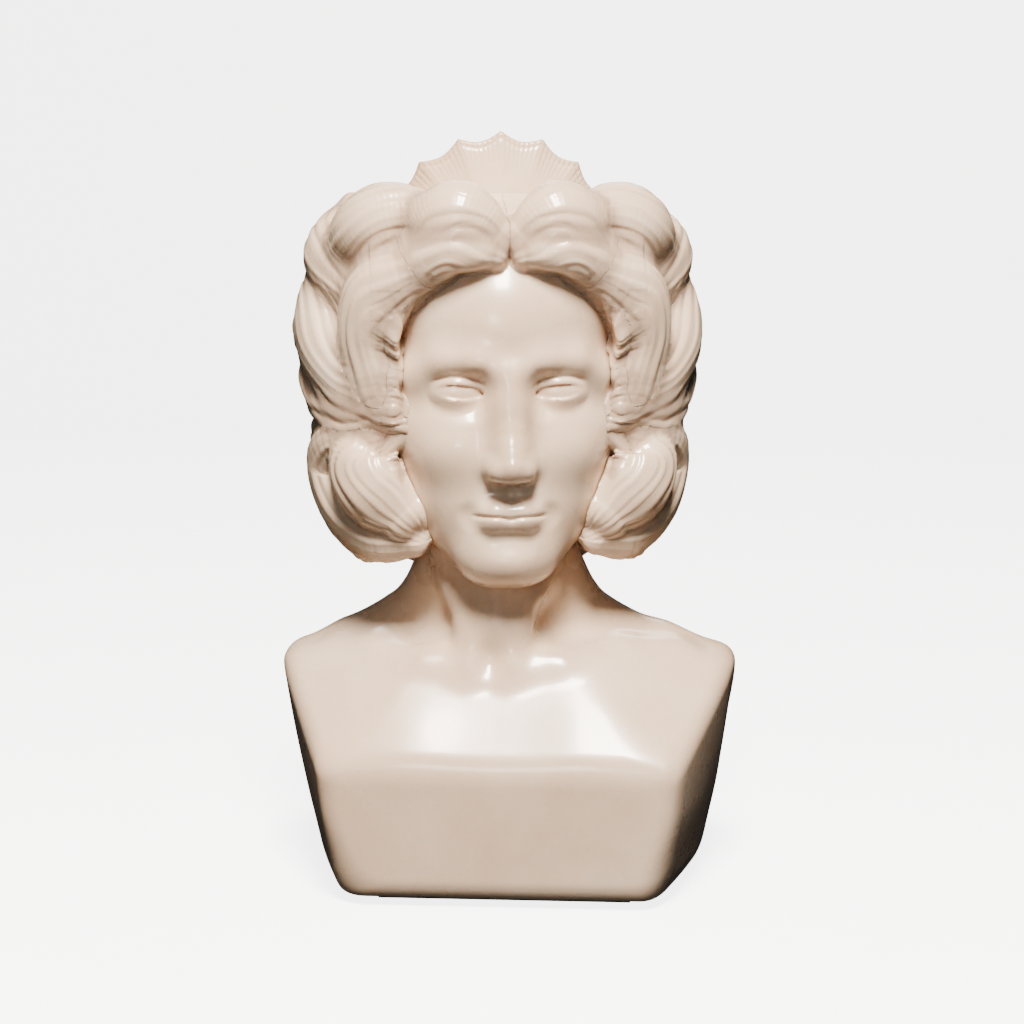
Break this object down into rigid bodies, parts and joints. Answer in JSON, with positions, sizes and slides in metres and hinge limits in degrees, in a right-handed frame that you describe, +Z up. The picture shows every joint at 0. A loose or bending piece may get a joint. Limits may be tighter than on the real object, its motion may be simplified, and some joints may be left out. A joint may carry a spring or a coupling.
{
  "type": "marble bust",
  "caption": "Free-standing marble bust with a turned head, waved hair and a scalloped diadem on a block cut square below the shoulders.",
  "frame": {"origin": "centre of the flat face the bust rests on", "axes": "+Z up through the bust, the chest faces -Y, +X to the right of someone looking at the chest"},
  "size_m": [0.176, 0.148, 0.297],
  "materials": {
    "marble_polished": "polished",
    "marble_carved": "polished over fine tool lines",
    "mortar": "matt",
    "steel": "brushed",
    "brass": "satin",
    "baize": "matt"
  },
  "bodies": {
    "root": {"shoulder_block": "marble_polished", "baize_sheet": "baize", "setting_bed": "mortar", "neck_dowel": "steel", "locating_pin": "steel", "head_block": "marble_polished", "hair_cap": "marble_carved", "diadem": "marble_carved", "diadem_pins": "brass", "front_puff_right": "marble_carved", "front_puff_left": "marble_carved", "temple_wave_right": "marble_carved", "temple_wave_left": "marble_carved", "ear_wave_right": "marble_carved", "ear_wave_left": "marble_carved", "side_roll_right": "marble_carved", "side_roll_left": "marble_carved", "back_wave_upper": "marble_carved", "back_wave_lower": "marble_carved", "nape_hair": "marble_carved"}
  },
  "joints": []
}
